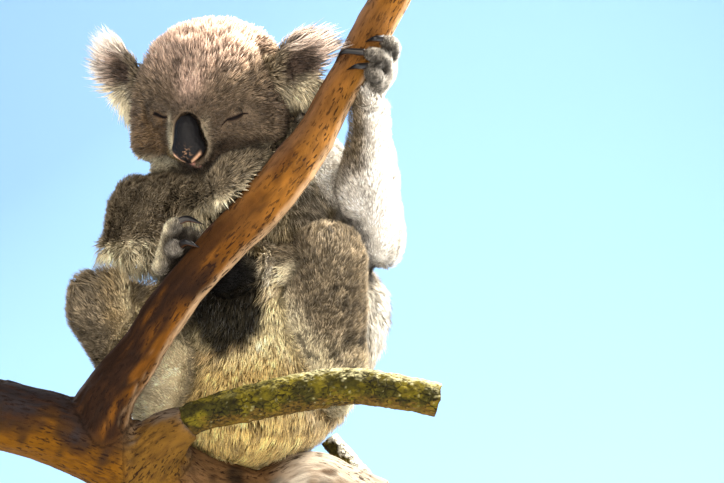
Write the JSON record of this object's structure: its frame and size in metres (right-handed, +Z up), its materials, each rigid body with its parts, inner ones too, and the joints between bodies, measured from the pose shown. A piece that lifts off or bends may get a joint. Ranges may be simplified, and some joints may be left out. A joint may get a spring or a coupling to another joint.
{
  "type": "koala model",
  "caption": "Life-size model of a koala asleep in a gum tree fork, gripping a cut length of limb, on a plain round display stand.",
  "frame": {"origin": "middle of the stand base's underside", "axes": "+Z up; the koala faces -Y, so its left side is at +X"},
  "size_m": [0.4912, 0.36, 0.8459],
  "materials": {
    "fur": "mottled grey-brown coat, dark at the base and light at the tips",
    "belly_fur": "cream belly and chest, grey-brown back",
    "pale_fur": "long pale fringe round a dark inner ear",
    "paw": "short dark fur with pale knuckles",
    "claw": "black horn",
    "eye": "dark brown, moist",
    "nose": "black leathery skin",
    "bark": "smooth tan gum bark with dark specks",
    "moss": "rough dark bark with moss",
    "steel": "satin",
    "stand": "satin dark paint"
  },
  "bodies": {
    "root": {"perch_trunk_limb": "bark", "perch_rising_limb": "bark", "perch_collar": "bark", "perch_mossy_limb": "moss", "perch_broken_twig": "moss", "stand_rod_left": "steel", "stand_rod_right": "steel", "stand_base": "stand", "claw_hand_left_1": "claw", "claw_hand_left_2": "claw", "claw_hand_left_3": "claw", "claw_hand_left_4": "claw", "claw_hand_left_5": "claw", "claw_hand_right_1": "claw", "claw_hand_right_2": "claw", "claw_hand_right_3": "claw", "claw_hand_right_4": "claw", "claw_hand_right_5": "claw", "claw_foot_right_1": "claw", "claw_foot_right_2": "claw", "claw_foot_right_3": "claw", "claw_foot_right_4": "claw", "claw_foot_left_1": "claw", "claw_foot_left_2": "claw", "claw_foot_left_3": "claw", "claw_foot_left_4": "claw", "hand_left": "paw", "hand_right": "paw", "foot_right": "paw", "foot_left": "paw", "eye_left": "eye", "eye_right": "eye", "nose": "nose", "ear_left": "pale_fur", "ear_right": "pale_fur", "head": "fur", "trunk": "belly_fur", "neck": "fur", "thigh_right": "fur", "thigh_left": "fur", "shin_right": "fur", "shin_left": "fur", "forearm_right": "fur", "forearm_left": "fur", "upper_arm_right": "fur", "upper_arm_left": "fur"}
  },
  "joints": []
}
